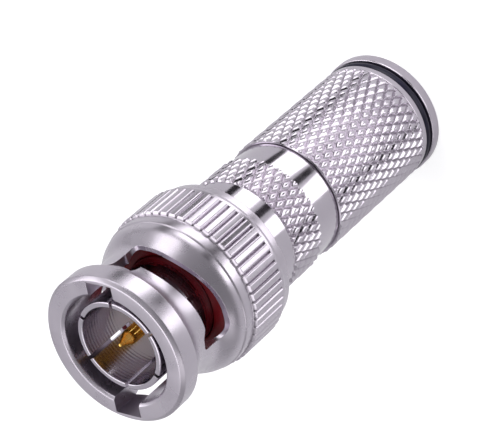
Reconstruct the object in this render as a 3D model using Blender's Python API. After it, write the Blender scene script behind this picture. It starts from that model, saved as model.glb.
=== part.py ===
"""Coaxial bayonet plug for compression fitting on a cable.

The plug stands on its cable end with the mating end up. Z is the common turning axis and
the origin is the centre of the rear face. Every round piece is a section turned about Z.
"""

import math

import bmesh
import bpy
from mathutils import Matrix, Vector

MM = 0.001

# Clearances. Pieces that are pressed or stacked together meet across a seat, and pieces that
# turn or slide run in a wider fit.
SEAT = 0.05 * MM
SLIDING_FIT = 0.07 * MM
RUNNING_FIT = 0.15 * MM

# Radii are built out from the outer contact: each piece adds its wall, step or gap.
CONTACT_RADIUS = 4.05 * MM
CONTACT_WALL = 0.48 * MM
CONTACT_SHOULDER = 0.16 * MM
SPIGOT_STEP = 0.35 * MM
SOCKET_GAP = 0.90 * MM
CHAMBER_STEP = 0.95 * MM
WAIST_WALL = 0.85 * MM
FACE_WIDTH = 1.44 * MM
KEYWAY_REACH = 1.15 * MM
RIM_WALL = 1.10 * MM
TOOTH_WALL = 1.05 * MM
TAIL_WALL = 0.90 * MM
FLANGE_GAP = 0.20 * MM
GASKET_GAP = 0.45 * MM
COLLAR_GAP = 0.50 * MM
GRIP_STEP = 0.20 * MM
REAR_COLLAR_STEP = 0.03 * MM
SLEEVE_STEP = 0.27 * MM
SLEEVE_WALL = 0.79 * MM
CAP_FLANGE_STEP = 0.08 * MM
CAP_WALL = 1.13 * MM
CAP_MOUTH_FLARE = 0.60 * MM
BODY_REAR_WALL = 1.40 * MM
POST_SEAT_STEP = 0.50 * MM

# Compression cap and its ring at the cable end.
CAP_FLANGE_LENGTH = 0.97 * MM
CAP_MOUTH_DEPTH = 0.7 * MM
CAP_TAPER_LENGTH = 1.8 * MM
CAP_TIP_WALL = 0.3 * MM
RING_SEAT_LENGTH = 0.85 * MM
CAP_RING_RADIAL = 0.77 * MM
CAP_RING_AXIAL = 0.75 * MM

# Knurled rear sleeve.
SLEEVE_LENGTH = 13.92 * MM
SLEEVE_LIP_LENGTH = 0.95 * MM
SLEEVE_EDGE = 0.12 * MM

# Diamond knurl of the sleeve and of the body's grip, made by two crossing families of grooves.
KNURL_COUNT = 40
KNURL_PITCH = 1.89 * MM
KNURL_DEPTH = 0.28 * MM

# Body between the sleeve and the coupling nut.
REAR_COLLAR_LENGTH = 2.76 * MM
GRIP_LENGTH = 3.93 * MM
GRIP_EDGE = 0.12 * MM
FRONT_COLLAR_LENGTH = 5.14 * MM
BODY_SPIGOT_LENGTH = 3.3 * MM
BODY_REAR_BORE_DEPTH = 5.5 * MM
BODY_RING_SECTION = 0.76 * MM
BODY_RING_GROOVE = 0.95 * MM
BODY_RING_SETBACK = 1.2 * MM

# Coupling nut, from its front face back.
NUT_BAND_LENGTH = 1.92 * MM
NUT_NECK_LENGTH = 2.68 * MM
NUT_WAIST_LENGTH = 0.80 * MM
NUT_FLARE_LENGTH = 2.70 * MM
NUT_RIM_LENGTH = 1.00 * MM
NUT_GROOVE_LENGTH = 0.18 * MM
NUT_TEETH_LENGTH = 3.82 * MM
NUT_TAIL_LENGTH = 0.65 * MM
NUT_TAIL_TAPER = 0.83 * MM
NUT_FACE_CHAMFER = 0.30 * MM
NUT_BORE_CHAMFER = 0.22 * MM
NUT_GROOVE_DEPTH = 0.10 * MM
NUT_COLLAR_OVERLAP = 2.28 * MM
NECK_POWER = 2.5
SHOULDER_SETBACK = 0.40 * MM
SHOULDER_TAPER = 1.70 * MM
TOOTH_COUNT = 54
TOOTH_HEIGHT = 0.30 * MM
TOOTH_RUNOUT = 0.30 * MM
TOOTH_PHASE = math.radians(-2.2)

# Bayonet: two keyways let the studs in from the front, and a ramp cut through the waist leads
# each of them round to its rest.
BAYONET_COUNT = 2
KEYWAY_ANGLE = math.radians(-41)
KEYWAY_WIDTH = 2.5 * MM
TRACK_SETBACK = 0.38 * MM
TRACK_WIDTH = 2.30 * MM
TRACK_RISE = 0.72 * MM
TRACK_TURN = math.radians(104)
RAMP_START = math.radians(20)
RAMP_END = math.radians(85)
REST_NOTCH = 0.40 * MM
REST_TURN = math.radians(20)
TRACK_START_CORNER = 0.65 * MM
TRACK_END_CORNER = 1.3 * MM
REST_CORNER = 0.4 * MM

# Spring stack in the nut. The retaining ring rests on the body's front face.
RETAINING_RING_THICKNESS = 0.50 * MM
RETAINING_RING_WIDTH = 1.15 * MM
RETAINING_RING_BITE = 0.30 * MM
RETAINING_RING_GAP = math.radians(24)
THRUST_WASHER_THICKNESS = 0.40 * MM
WAVE_HEIGHT = 1.60 * MM
WAVE_THICKNESS = 0.25 * MM
WAVE_COUNT = 3
FLANGE_THICKNESS = 0.85 * MM

# Outer contact.
CONTACT_RECESS = 0.67 * MM
CONTACT_TIP_CHAMFER = 0.10 * MM
CONTACT_SPIGOT_DEPTH = 3.30 * MM
SLOT_COUNT = 6
SLOT_WIDTH = 0.32 * MM
SLOT_LENGTH = 5.0 * MM
SLOT_ANGLE = math.radians(17)
GASKET_THICKNESS = 1.0 * MM

# Centre contact and its two insulators.
PIN_RECESS = 0.75 * MM
PIN_RADIUS = 0.67 * MM
PIN_TIP_RADIUS = 0.20 * MM
PIN_TIP_LENGTH = 1.25 * MM
PIN_COLLAR_RADIUS = 1.70 * MM
PIN_COLLAR_LENGTH = 1.10 * MM
PIN_BARREL_RADIUS = 1.15 * MM
PIN_BARREL_LENGTH = 6.5 * MM
PIN_SOCKET_RADIUS = 0.75 * MM
PIN_SOCKET_DEPTH = 4.4 * MM
COLLET_LENGTH = 4.0 * MM
COLLET_BORE_RADIUS = 0.45 * MM
COLLET_SLOT_LENGTH = 2.8 * MM
COLLET_SLOT_WIDTH = 0.20 * MM
INSULATOR_LENGTH = 2.95 * MM

# Post that goes under the cable's braid, and the plastic ferrule around the jacket.
POST_BORE_RADIUS = 1.95 * MM
POST_WALL = 0.35 * MM
POST_BARB_HEIGHT = 0.20 * MM
POST_BARB_LENGTH = 0.9 * MM
POST_BARB_COUNT = 3
POST_FLANGE_LENGTH = 1.0 * MM
POST_LENGTH = 11.4 * MM
FERRULE_LENGTH = 2.87 * MM
FERRULE_SQUEEZE = 0.20 * MM
FERRULE_THROAT_STEP = 0.30 * MM

# Fineness of the turned pieces.
SIDES = 40
SMALL_SIDES = 24
RING_SECTION_SIDES = 8
OUTLINE_STEPS = 4

# Radii that follow from the walls and gaps above.
CONTACT_BORE_RADIUS = CONTACT_RADIUS - CONTACT_WALL
CONTACT_SPIGOT_RADIUS = CONTACT_RADIUS + SPIGOT_STEP
WASHER_BORE_RADIUS = CONTACT_SPIGOT_RADIUS + RUNNING_FIT
NUT_BORE_RADIUS = CONTACT_RADIUS + SOCKET_GAP
NUT_CHAMBER_RADIUS = NUT_BORE_RADIUS + CHAMBER_STEP
NUT_WAIST_RADIUS = NUT_BORE_RADIUS + WAIST_WALL
NUT_FACE_RADIUS = NUT_BORE_RADIUS + FACE_WIDTH
NUT_BAND_RADIUS = NUT_FACE_RADIUS + NUT_FACE_CHAMFER
NUT_RIM_RADIUS = NUT_CHAMBER_RADIUS + RIM_WALL
TOOTH_ROOT_RADIUS = NUT_CHAMBER_RADIUS + TOOTH_WALL
TOOTH_TIP_RADIUS = TOOTH_ROOT_RADIUS + TOOTH_HEIGHT
NUT_REAR_RADIUS = NUT_CHAMBER_RADIUS + TAIL_WALL
KEYWAY_RADIUS = NUT_BORE_RADIUS + KEYWAY_REACH
RING_GROOVE_RADIUS = NUT_CHAMBER_RADIUS + RETAINING_RING_BITE + SLIDING_FIT
FLANGE_RADIUS = NUT_CHAMBER_RADIUS - FLANGE_GAP
GASKET_RADIUS = NUT_CHAMBER_RADIUS - GASKET_GAP
FRONT_COLLAR_RADIUS = NUT_CHAMBER_RADIUS - COLLAR_GAP
GRIP_RADIUS = FRONT_COLLAR_RADIUS + GRIP_STEP
REAR_COLLAR_RADIUS = FRONT_COLLAR_RADIUS - REAR_COLLAR_STEP
SLEEVE_RADIUS = REAR_COLLAR_RADIUS + SLEEVE_STEP
SLEEVE_BORE_RADIUS = SLEEVE_RADIUS - SLEEVE_WALL
BODY_SPIGOT_RADIUS = SLEEVE_BORE_RADIUS - SEAT
BODY_REAR_BORE_RADIUS = BODY_SPIGOT_RADIUS - BODY_REAR_WALL
BODY_MID_BORE_RADIUS = BODY_REAR_BORE_RADIUS - POST_SEAT_STEP
CAP_FLANGE_RADIUS = SLEEVE_RADIUS + CAP_FLANGE_STEP
CAP_TUBE_RADIUS = SLEEVE_BORE_RADIUS - SLIDING_FIT
CAP_BORE_RADIUS = CAP_TUBE_RADIUS - CAP_WALL
CAP_MOUTH_RADIUS = CAP_BORE_RADIUS + CAP_MOUTH_FLARE
FERRULE_BORE_RADIUS = CAP_BORE_RADIUS - FERRULE_SQUEEZE
FERRULE_THROAT_RADIUS = FERRULE_BORE_RADIUS + FERRULE_THROAT_STEP
POST_TUBE_RADIUS = POST_BORE_RADIUS + POST_WALL
POST_BARB_RADIUS = POST_TUBE_RADIUS + POST_BARB_HEIGHT

# Depths behind the nut's front face.
NECK_END = NUT_BAND_LENGTH + NUT_NECK_LENGTH
FLARE_START = NECK_END + NUT_WAIST_LENGTH
RIM_START = FLARE_START + NUT_FLARE_LENGTH
RIM_END = RIM_START + NUT_RIM_LENGTH
TEETH_START = RIM_END + NUT_GROOVE_LENGTH
TEETH_END = TEETH_START + NUT_TEETH_LENGTH
TAIL_END = TEETH_END + NUT_TAIL_LENGTH
NUT_LENGTH = TAIL_END + NUT_TAIL_TAPER
SHOULDER_DEPTH = NECK_END + SHOULDER_SETBACK
TRACK_DEPTH = NECK_END + TRACK_SETBACK
TRACK_START = -KEYWAY_WIDTH / 2 / NUT_WAIST_RADIUS

# Heights that follow from the lengths above.
CAP_FLANGE_TOP = CAP_FLANGE_LENGTH
SLEEVE_REAR = CAP_FLANGE_TOP + RING_SEAT_LENGTH
SLEEVE_FRONT = SLEEVE_REAR + SLEEVE_LENGTH
REAR_COLLAR_REAR = SLEEVE_FRONT + SEAT
BODY_REAR = REAR_COLLAR_REAR - BODY_SPIGOT_LENGTH
FERRULE_FRONT = BODY_REAR - SEAT
FERRULE_REAR = FERRULE_FRONT - FERRULE_LENGTH
CAP_TOP = FERRULE_REAR - 2 * SEAT
GRIP_REAR = REAR_COLLAR_REAR + REAR_COLLAR_LENGTH
GRIP_FRONT = GRIP_REAR + GRIP_LENGTH
BODY_FRONT = GRIP_FRONT + FRONT_COLLAR_LENGTH
NUT_REAR = BODY_FRONT - NUT_COLLAR_OVERLAP
NUT_FRONT = NUT_REAR + NUT_LENGTH
RETAINING_RING_REAR = BODY_FRONT + SEAT
RETAINING_RING_FRONT = RETAINING_RING_REAR + RETAINING_RING_THICKNESS
THRUST_WASHER_REAR = RETAINING_RING_FRONT + SEAT
THRUST_WASHER_FRONT = THRUST_WASHER_REAR + THRUST_WASHER_THICKNESS
WAVE_REAR = THRUST_WASHER_FRONT + SEAT
WAVE_FRONT = WAVE_REAR + WAVE_HEIGHT
FLANGE_REAR = WAVE_FRONT + SEAT
FLANGE_FRONT = FLANGE_REAR + FLANGE_THICKNESS
CONTACT_REAR = BODY_FRONT - CONTACT_SPIGOT_DEPTH
CONTACT_SEAT = CONTACT_REAR - SEAT
CONTACT_FRONT = NUT_FRONT - CONTACT_RECESS
REAR_INSULATOR_FRONT = CONTACT_REAR + INSULATOR_LENGTH
PIN_COLLAR_REAR = REAR_INSULATOR_FRONT + SEAT
PIN_COLLAR_FRONT = PIN_COLLAR_REAR + PIN_COLLAR_LENGTH
FRONT_INSULATOR_REAR = PIN_COLLAR_FRONT + SEAT
FRONT_INSULATOR_FRONT = FRONT_INSULATOR_REAR + INSULATOR_LENGTH
PIN_FRONT = NUT_FRONT - PIN_RECESS
PIN_REAR = PIN_COLLAR_REAR - PIN_BARREL_LENGTH
BODY_REAR_BORE_END = BODY_REAR + BODY_REAR_BORE_DEPTH
POST_FRONT = BODY_REAR_BORE_END - SEAT
POST_REAR = POST_FRONT - POST_LENGTH


def clear_scene():
    """Start from an empty scene."""
    for thing in list(bpy.data.objects):
        bpy.data.objects.remove(thing, do_unlink=True)


def make_material(name, colour, roughness, metallic):
    """A Principled material of one colour."""
    material = bpy.data.materials.new(name)
    material.use_nodes = True
    shader = material.node_tree.nodes["Principled BSDF"]
    shader.inputs["Base Color"].default_value = (*colour, 1.0)
    shader.inputs["Roughness"].default_value = roughness
    shader.inputs["Metallic"].default_value = metallic
    return material


def add_object(name, mesh_builder, material=None):
    """Turn a finished bmesh into a named, smooth-shaded object."""
    bmesh.ops.recalc_face_normals(mesh_builder, faces=mesh_builder.faces)
    mesh = bpy.data.meshes.new(name)
    mesh_builder.to_mesh(mesh)
    mesh_builder.free()
    mesh.shade_smooth()
    mesh.set_sharp_from_angle(angle=math.radians(30))
    thing = bpy.data.objects.new(name, mesh)
    bpy.context.scene.collection.objects.link(thing)
    if material:
        mesh.materials.append(material)
    return thing


def turned_mesh(outline, sides=SIDES):
    """Spin a section, given as (radius, height) corners, once round the Z axis."""
    builder = bmesh.new()
    corners = [builder.verts.new((radius, 0.0, height)) for radius, height in outline]
    follow = corners[1:] + corners[:1]
    edges = [
        builder.edges.new(pair)
        for pair in zip(corners, follow)
        if pair[0].co.x > 0 or pair[1].co.x > 0
    ]
    bmesh.ops.spin(
        builder,
        geom=corners + edges,
        cent=(0, 0, 0),
        axis=(0, 0, 1),
        angle=math.tau,
        steps=sides,
        use_merge=True,
    )
    bmesh.ops.remove_doubles(builder, verts=builder.verts, dist=1e-7)
    return builder


def turned(name, outline, material=None, sides=SIDES):
    """A turned piece."""
    return add_object(name, turned_mesh(outline, sides), material)


def block(name, size, centre, angle):
    """A box set at an angle round the axis; its centre is (outward, across, height)."""
    builder = bmesh.new()
    bmesh.ops.create_cube(builder, size=1.0)
    turn = Matrix.Rotation(angle, 4, "Z") @ Matrix.Translation(Vector(centre))
    bmesh.ops.transform(builder, matrix=turn @ Matrix.Diagonal((*size, 1.0)), verts=builder.verts)
    return add_object(name, builder)


def cut(target, cutter):
    """Take one shape out of another and keep the cutter out of the model."""
    cutter.hide_render = True
    cutter.display_type = "WIRE"
    modifier = target.modifiers.new(cutter.name, "BOOLEAN")
    modifier.operation = "DIFFERENCE"
    modifier.solver = "EXACT"
    modifier.object = cutter


def eased(start, end, share):
    """Go from one value to another with a soft start and end."""
    return start + (end - start) * (1 - math.cos(math.pi * share)) / 2


def ring_outline(bore_radius, outer_radius, rear, front, edge=0.0):
    """Section of a plain ring with the same small chamfer on its outer edges."""
    return [
        (bore_radius, rear),
        (outer_radius - edge, rear),
        (outer_radius, rear + edge),
        (outer_radius, front - edge),
        (outer_radius - edge, front),
        (bore_radius, front),
    ] if edge else [
        (bore_radius, rear),
        (outer_radius, rear),
        (outer_radius, front),
        (bore_radius, front),
    ]


def oval_ring(name, bore_radius, radial, axial, middle, material, sides=SIDES):
    """A rubber ring with an oval section."""
    centre = bore_radius + radial / 2
    outline = []
    for step in range(RING_SECTION_SIDES):
        turn = math.tau * step / RING_SECTION_SIDES
        outline.append((centre + radial / 2 * math.cos(turn), middle + axial / 2 * math.sin(turn)))
    return turned(name, outline, material, sides)


def hoop(builder, height, reaches, phase=0.0):
    """A ring of corners round the axis, at even turns, one for each reach."""
    corners = []
    for column, reach in enumerate(reaches):
        turn = phase + math.tau * column / len(reaches)
        corners.append(builder.verts.new((reach * math.cos(turn), reach * math.sin(turn), height)))
    return corners


def bridge(builder, lower, upper):
    """Skin between two rings, of which one may have twice as many corners as the other."""
    if len(lower) == len(upper):
        for column in range(len(lower)):
            after = (column + 1) % len(lower)
            builder.faces.new((lower[column], lower[after], upper[after], upper[column]))
        return
    coarse, fine = sorted((lower, upper), key=len)
    for column in range(len(coarse)):
        after = (column + 1) % len(coarse)
        middle = fine[2 * column + 1]
        builder.faces.new((coarse[column], coarse[after], middle))
        builder.faces.new((coarse[column], middle, fine[2 * column]))
        builder.faces.new((coarse[after], fine[2 * after], middle))


def knurl_rows(rear, front):
    """How many half diamonds of the knurl fit between two heights."""
    return max(round((front - rear) / (KNURL_PITCH / 2)), 1)


def bridge_knurl(builder, lower, upper, row):
    """Skin between two rows of the knurl, split along its grooves."""
    for column in range(len(lower)):
        after = (column + 1) % len(lower)
        corners = (lower[column], lower[after], upper[after], upper[column])
        if (row + column) % 2:
            corners = corners[1:] + corners[:1]
        builder.faces.new((corners[0], corners[1], corners[2]))
        builder.faces.new((corners[0], corners[2], corners[3]))


def knurled(name, section, knurl_rear, knurl_front, radius, material):
    """A turned piece whose closed section starts after its knurl and ends before it."""
    builder = bmesh.new()
    plain = [hoop(builder, height, [reach] * KNURL_COUNT) for reach, height in section]
    rows = knurl_rows(knurl_rear, knurl_front)
    knurl = []
    for row in range(rows + 1):
        height = knurl_rear + (knurl_front - knurl_rear) * row / rows
        reaches = []
        for column in range(2 * KNURL_COUNT):
            reaches.append(radius - KNURL_DEPTH * ((row + column + 1) % 2))
        knurl.append(hoop(builder, height, reaches))
    for lower, upper in zip(plain, plain[1:]):
        bridge(builder, lower, upper)
    for row in range(rows):
        bridge_knurl(builder, knurl[row], knurl[row + 1], row)
    bridge(builder, plain[-1], knurl[0])
    bridge(builder, knurl[-1], plain[0])
    return add_object(name, builder, material)


def nut_toothed_rings():
    """Rings of the nut's rear half, from the rear, as (depth, radius, tooth height)."""
    return [
        (NUT_LENGTH, NUT_REAR_RADIUS, 0.0),
        (TAIL_END, TOOTH_ROOT_RADIUS, 0.0),
        (TEETH_END, TOOTH_ROOT_RADIUS, 0.0),
        (TEETH_END - TOOTH_RUNOUT / 2, TOOTH_ROOT_RADIUS, TOOTH_HEIGHT),
        (TEETH_START + TOOTH_RUNOUT, TOOTH_ROOT_RADIUS, TOOTH_HEIGHT),
        (TEETH_START, TOOTH_ROOT_RADIUS, 0.0),
        (RIM_END + NUT_GROOVE_LENGTH / 2, NUT_RIM_RADIUS - NUT_GROOVE_DEPTH, 0.0),
    ]


def nut_smooth_rings():
    """Rings of the nut's front half, from the rim, as (depth, radius)."""
    flare_radius = NUT_RIM_RADIUS - NUT_GROOVE_DEPTH / 2
    rings = [(RIM_END, NUT_RIM_RADIUS), (RIM_START + NUT_GROOVE_LENGTH, NUT_RIM_RADIUS)]
    for step in range(OUTLINE_STEPS + 1):
        share = step / OUTLINE_STEPS
        depth = RIM_START - NUT_FLARE_LENGTH * share
        rings.append((depth, eased(flare_radius, NUT_WAIST_RADIUS, share)))
    for step in range(OUTLINE_STEPS + 1):
        share = step / OUTLINE_STEPS
        depth = NECK_END - NUT_NECK_LENGTH * share
        swell = (NUT_BAND_RADIUS - NUT_WAIST_RADIUS) * share**NECK_POWER
        rings.append((depth, NUT_WAIST_RADIUS + swell))
    rings.append((NUT_FACE_CHAMFER, NUT_BAND_RADIUS))
    rings.append((0.0, NUT_FACE_RADIUS))
    return rings


def nut_blank(material):
    """The nut before it is bored: a turned outline whose grip has straight teeth."""
    builder = bmesh.new()
    loops = []
    for depth, radius, tooth in nut_toothed_rings():
        reaches = [radius + tooth * (column % 2) for column in range(2 * TOOTH_COUNT)]
        loops.append(hoop(builder, NUT_FRONT - depth, reaches, TOOTH_PHASE))
    for depth, radius in nut_smooth_rings():
        reaches = [radius] * TOOTH_COUNT
        loops.append(hoop(builder, NUT_FRONT - depth, reaches, TOOTH_PHASE))
    for lower, upper in zip(loops, loops[1:]):
        bridge(builder, lower, upper)
    builder.faces.new(loops[0])
    builder.faces.new(loops[-1])
    return add_object("coupling_nut", builder, material)


def nut_bore():
    """Cutter for the nut's inside: front bore, spring chamber and retaining ring groove."""
    outline = [
        (0.0, NUT_REAR - MM),
        (NUT_CHAMBER_RADIUS, NUT_REAR - MM),
        (NUT_CHAMBER_RADIUS, RETAINING_RING_REAR - SEAT),
        (RING_GROOVE_RADIUS, RETAINING_RING_REAR - SEAT),
        (RING_GROOVE_RADIUS, RETAINING_RING_FRONT + SEAT),
        (NUT_CHAMBER_RADIUS, RETAINING_RING_FRONT + SEAT),
        (NUT_CHAMBER_RADIUS, NUT_FRONT - SHOULDER_DEPTH - SHOULDER_TAPER),
        (NUT_BORE_RADIUS, NUT_FRONT - SHOULDER_DEPTH),
        (NUT_BORE_RADIUS, NUT_FRONT - NUT_BORE_CHAMFER),
        (NUT_BORE_RADIUS + 2 * NUT_BORE_CHAMFER, NUT_FRONT + NUT_BORE_CHAMFER),
        (0.0, NUT_FRONT + NUT_BORE_CHAMFER),
    ]
    return turned("nut_bore_cut", outline)


def corner_drop(corner, past):
    """How far a round corner has fallen, a given way past where it starts."""
    reach = min(max(past, 0.0), corner)
    return corner - math.sqrt(corner**2 - reach**2)


def track_edges(turn):
    """Depths of the track's front and rear edge, a given turn past the keyway's centre."""
    share = min(max((turn - RAMP_START) / (RAMP_END - RAMP_START), 0.0), 1.0)
    centre = TRACK_DEPTH + eased(0.0, TRACK_RISE, share)
    into_rest = min(max((turn - TRACK_TURN + REST_TURN) / (REST_TURN / 2), 0.0), 1.0)
    from_start = (turn - TRACK_START) * NUT_WAIST_RADIUS
    to_end = (TRACK_TURN - turn) * NUT_WAIST_RADIUS
    front = centre - TRACK_WIDTH / 2 - eased(0.0, REST_NOTCH, into_rest)
    front += corner_drop(REST_CORNER, REST_CORNER - to_end)
    rear = centre + TRACK_WIDTH / 2
    rear -= corner_drop(TRACK_START_CORNER, TRACK_START_CORNER - from_start)
    rear -= corner_drop(TRACK_END_CORNER, TRACK_END_CORNER - to_end)
    return front, rear


def track_cutter(name, keyway_angle):
    """Cutter for one ramp: a band bent round the waist, clear of both faces of the wall."""
    inner = NUT_BORE_RADIUS - MM / 2
    outer = TOOTH_TIP_RADIUS
    stations = 26
    builder = bmesh.new()
    sections = []
    for station in range(stations + 1):
        share = station / stations
        turn = eased(TRACK_START, TRACK_TURN, share)
        front, rear = track_edges(turn)
        direction = keyway_angle - turn
        corners = []
        for radius, depth in ((inner, front), (outer, front), (outer, rear), (inner, rear)):
            x = radius * math.cos(direction)
            y = radius * math.sin(direction)
            corners.append(builder.verts.new((x, y, NUT_FRONT - depth)))
        sections.append(corners)
    for now, then in zip(sections, sections[1:]):
        for side in range(4):
            after = (side + 1) % 4
            builder.faces.new((now[side], now[after], then[after], then[side]))
    builder.faces.new(sections[0])
    builder.faces.new(sections[-1])
    return add_object(name, builder)


def coupling_nut(material):
    """Bayonet nut: toothed grip, waist with two ramps, front band with two keyways."""
    nut = nut_blank(material)
    cut(nut, nut_bore())
    for index in range(BAYONET_COUNT):
        angle = KEYWAY_ANGLE + math.tau * index / BAYONET_COUNT
        inner = NUT_BORE_RADIUS - MM / 2
        front = NUT_FRONT + MM
        rear = NUT_FRONT - TRACK_DEPTH
        keyway = block(
            f"keyway_cut_{index}",
            (KEYWAY_RADIUS - inner, KEYWAY_WIDTH, front - rear),
            ((KEYWAY_RADIUS + inner) / 2, 0.0, (front + rear) / 2),
            angle,
        )
        cut(nut, keyway)
        cut(nut, track_cutter(f"track_cut_{index}", angle))
    return nut


def retaining_ring(material):
    """Split ring that sits in the nut's groove and keeps the washers in."""
    outer = NUT_CHAMBER_RADIUS + RETAINING_RING_BITE
    washer = turned(
        "retaining_ring",
        ring_outline(
            outer - RETAINING_RING_WIDTH, outer, RETAINING_RING_REAR, RETAINING_RING_FRONT
        ),
        material,
    )
    length = 2 * outer * math.sin(RETAINING_RING_GAP / 2)
    opening = block(
        "retaining_ring_cut",
        (4 * RETAINING_RING_WIDTH, length, 4 * RETAINING_RING_THICKNESS),
        (outer, 0.0, (RETAINING_RING_REAR + RETAINING_RING_FRONT) / 2),
        math.radians(90),
    )
    cut(washer, opening)
    return washer


def wave_washer(material):
    """Thin washer bent into waves round its ring."""
    inner = WASHER_BORE_RADIUS
    outer = NUT_CHAMBER_RADIUS - 2 * RUNNING_FIT
    middle = (WAVE_REAR + WAVE_FRONT) / 2
    swing = (WAVE_HEIGHT - WAVE_THICKNESS) / 2
    builder = bmesh.new()
    sections = []
    for station in range(SIDES):
        turn = math.tau * station / SIDES
        height = middle + swing * math.cos(WAVE_COUNT * turn)
        corners = []
        for radius, offset in ((inner, -1), (outer, -1), (outer, 1), (inner, 1)):
            x = radius * math.cos(turn)
            y = radius * math.sin(turn)
            corners.append(builder.verts.new((x, y, height + offset * WAVE_THICKNESS / 2)))
        sections.append(corners)
    for now, then in zip(sections, sections[1:] + sections[:1]):
        for side in range(4):
            after = (side + 1) % 4
            builder.faces.new((now[side], now[after], then[after], then[side]))
    return add_object("wave_washer", builder, material)


def outer_contact(material):
    """Slotted contact tube with the flange that the nut turns on and a spigot behind it."""
    bore = CONTACT_BORE_RADIUS
    rear_bore = bore + CONTACT_SHOULDER
    shoulder = FRONT_INSULATOR_FRONT + SEAT
    outline = [
        (rear_bore, CONTACT_REAR),
        (CONTACT_SPIGOT_RADIUS, CONTACT_REAR),
        (CONTACT_SPIGOT_RADIUS, FLANGE_REAR),
        (FLANGE_RADIUS, FLANGE_REAR),
        (FLANGE_RADIUS, FLANGE_FRONT),
        (CONTACT_RADIUS, FLANGE_FRONT),
        (CONTACT_RADIUS, CONTACT_FRONT - CONTACT_TIP_CHAMFER),
        (CONTACT_RADIUS - CONTACT_TIP_CHAMFER, CONTACT_FRONT),
        (bore, CONTACT_FRONT),
        (bore, shoulder),
        (rear_bore, shoulder),
    ]
    contact = turned("outer_contact", outline, material)
    for index in range(SLOT_COUNT // 2):
        slot = block(
            f"contact_slot_cut_{index}",
            (4 * CONTACT_RADIUS, SLOT_WIDTH, 2 * SLOT_LENGTH),
            (0.0, 0.0, CONTACT_FRONT),
            SLOT_ANGLE + math.tau * index / SLOT_COUNT,
        )
        cut(contact, slot)
    return contact


def center_pin(material):
    """Centre contact: pointed front, locating collar, and a socket for the conductor."""
    outline = [
        (0.0, PIN_REAR + PIN_SOCKET_DEPTH),
        (PIN_SOCKET_RADIUS, PIN_REAR + PIN_SOCKET_DEPTH),
        (PIN_SOCKET_RADIUS, PIN_REAR),
        (PIN_BARREL_RADIUS, PIN_REAR),
        (PIN_BARREL_RADIUS, PIN_COLLAR_REAR),
        (PIN_COLLAR_RADIUS, PIN_COLLAR_REAR),
        (PIN_COLLAR_RADIUS, PIN_COLLAR_FRONT),
        (PIN_RADIUS, PIN_COLLAR_FRONT),
        (PIN_RADIUS, PIN_FRONT - PIN_TIP_LENGTH),
        (PIN_TIP_RADIUS, PIN_FRONT - PIN_TIP_RADIUS),
        (PIN_TIP_RADIUS * 0.6, PIN_FRONT - PIN_TIP_RADIUS * 0.3),
        (0.0, PIN_FRONT),
    ]
    return turned("center_pin", outline, material, SMALL_SIDES)


def pin_collet(material):
    """Slotted spring sleeve in the pin's socket that grips the conductor."""
    rear = PIN_REAR + 2 * SEAT
    collet = turned(
        "pin_collet",
        ring_outline(COLLET_BORE_RADIUS, PIN_SOCKET_RADIUS - SEAT, rear, rear + COLLET_LENGTH),
        material,
        SMALL_SIDES,
    )
    for index in range(2):
        slot = block(
            f"collet_slot_cut_{index}",
            (4 * PIN_SOCKET_RADIUS, COLLET_SLOT_WIDTH, 2 * COLLET_SLOT_LENGTH),
            (0.0, 0.0, rear),
            math.radians(90 * index),
        )
        cut(collet, slot)
    return collet


def insulator(name, bore_radius, rear, material):
    """Plastic bead that centres the pin in the outer contact."""
    outer = CONTACT_BORE_RADIUS + CONTACT_SHOULDER - SEAT
    outline = ring_outline(bore_radius + SEAT, outer, rear, rear + INSULATOR_LENGTH)
    return turned(name, outline, material, SMALL_SIDES)


def face_gasket(material):
    """Soft ring on the flange that the mating socket presses against."""
    rear = FLANGE_FRONT + SEAT
    outline = ring_outline(CONTACT_RADIUS + SEAT, GASKET_RADIUS, rear, rear + GASKET_THICKNESS)
    return turned("face_gasket", outline, material)


def knurled_body(material):
    """Body: front collar, short knurled grip, rear collar, and the spigot in the sleeve."""
    groove = BODY_SPIGOT_RADIUS - BODY_RING_SECTION
    groove_front = REAR_COLLAR_REAR - BODY_RING_SETBACK
    groove_rear = groove_front - BODY_RING_GROOVE
    front_bore = CONTACT_SPIGOT_RADIUS + SEAT
    section = [
        (FRONT_COLLAR_RADIUS, GRIP_FRONT),
        (FRONT_COLLAR_RADIUS, BODY_FRONT),
        (front_bore, BODY_FRONT),
        (front_bore, CONTACT_SEAT),
        (BODY_MID_BORE_RADIUS, CONTACT_SEAT),
        (BODY_MID_BORE_RADIUS, BODY_REAR_BORE_END),
        (BODY_REAR_BORE_RADIUS, BODY_REAR_BORE_END),
        (BODY_REAR_BORE_RADIUS, BODY_REAR),
        (BODY_SPIGOT_RADIUS, BODY_REAR),
        (BODY_SPIGOT_RADIUS, groove_rear),
        (groove, groove_rear),
        (groove, groove_front),
        (BODY_SPIGOT_RADIUS, groove_front),
        (BODY_SPIGOT_RADIUS, REAR_COLLAR_REAR),
        (REAR_COLLAR_RADIUS, REAR_COLLAR_REAR),
        (REAR_COLLAR_RADIUS, GRIP_REAR),
    ]
    rear = GRIP_REAR + GRIP_EDGE
    return knurled("knurled_body", section, rear, GRIP_FRONT - GRIP_EDGE, GRIP_RADIUS, material)


def body_ring(material):
    """Seal between the body's spigot and the sleeve."""
    radial = BODY_RING_SECTION - 2 * SEAT
    bore = BODY_SPIGOT_RADIUS - BODY_RING_SECTION + SEAT
    middle = REAR_COLLAR_REAR - BODY_RING_SETBACK - BODY_RING_GROOVE / 2
    return oval_ring("body_o_ring", bore, radial, radial, middle, material, SMALL_SIDES)


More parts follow.
